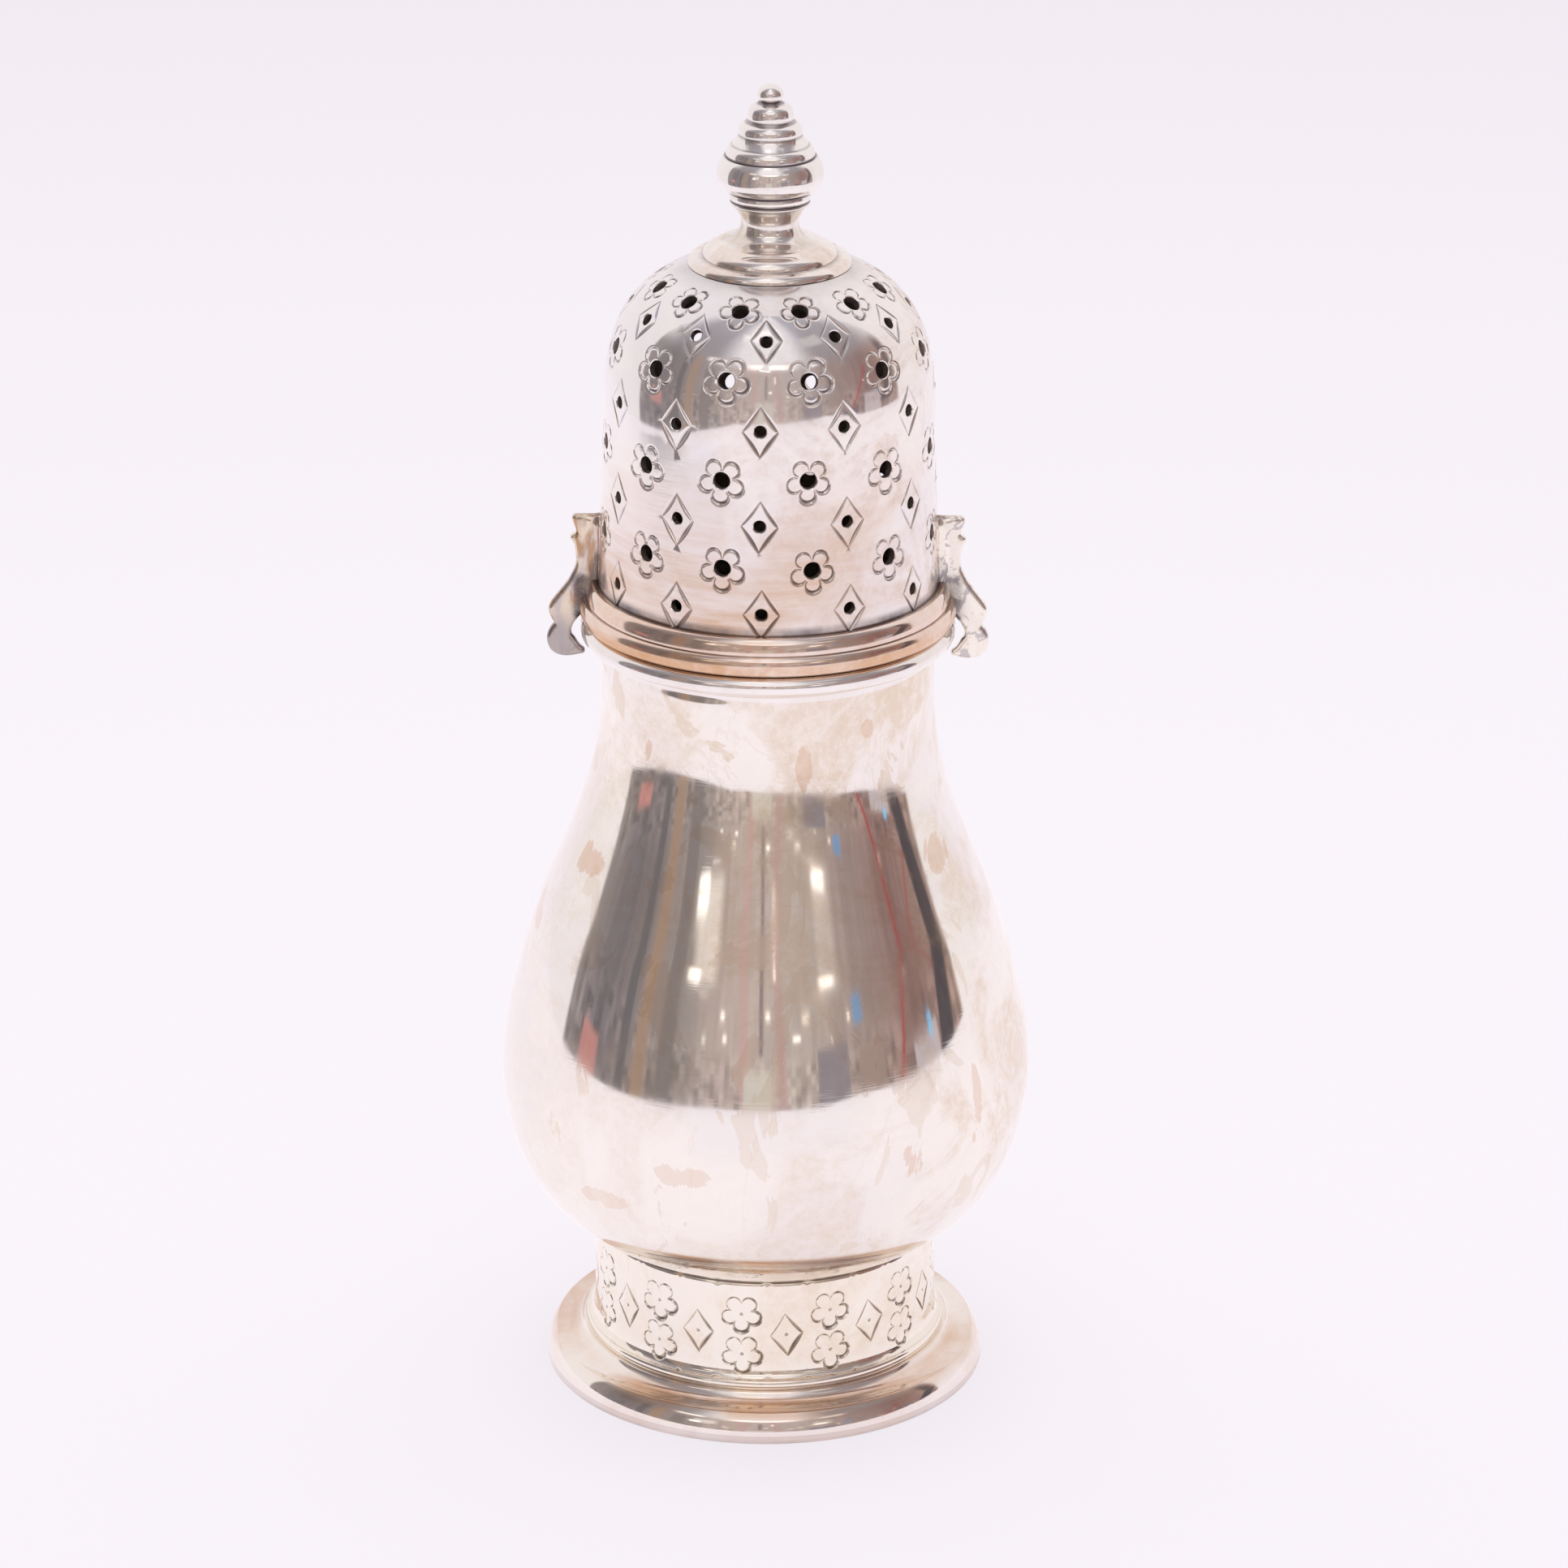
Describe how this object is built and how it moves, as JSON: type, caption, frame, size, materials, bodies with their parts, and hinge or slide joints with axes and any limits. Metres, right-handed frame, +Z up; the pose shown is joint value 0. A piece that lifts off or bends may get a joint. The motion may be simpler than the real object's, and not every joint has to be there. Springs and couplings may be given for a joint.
{
  "type": "sugar caster",
  "caption": "Pear-shaped silver sugar caster on an engraved collared foot, with a lift-off pierced dome cover held by lugs that hook under the rim.",
  "frame": {"origin": "middle of the foot's underside, on the surface that the caster stands on", "axes": "+Z up along the caster's axis, the two lugs on -X and +X, the pictured front towards -Y"},
  "size_m": [0.0794, 0.0794, 0.2],
  "materials": {
    "polished_silver": "polished, lightly tarnished",
    "tarnished_silver": "polished, warm tarnish",
    "soldered_silver": "cast and filed, dull tarnish in the hollows",
    "plain_silver": "satin",
    "brass": "plain turned"
  },
  "bodies": {
    "vessel": {"body_shell": "polished_silver", "rim_ring": "polished_silver", "foot_collar": "polished_silver", "foot_flange": "tarnished_silver", "foot_edge": "tarnished_silver"},
    "sleeve": {"cover_sleeve": "plain_silver"},
    "cover": {"cover_dome": "polished_silver", "cover_ring": "tarnished_silver", "lug_left": "soldered_silver", "lug_right": "soldered_silver", "finial_plate": "tarnished_silver", "finial_knop": "polished_silver", "finial_stud": "brass", "finial_nut": "brass"}
  },
  "joints": [
    {"name": "cover_lift", "type": "slide", "parent": "vessel", "child": "sleeve", "axis": [0, 0, 1], "range_m": [0, 0.045]},
    {"name": "cover_turn", "type": "hinge", "parent": "sleeve", "child": "cover", "pos_m": [0, 0, 0.1197], "axis": [0, 0, 1], "continuous": true}
  ]
}
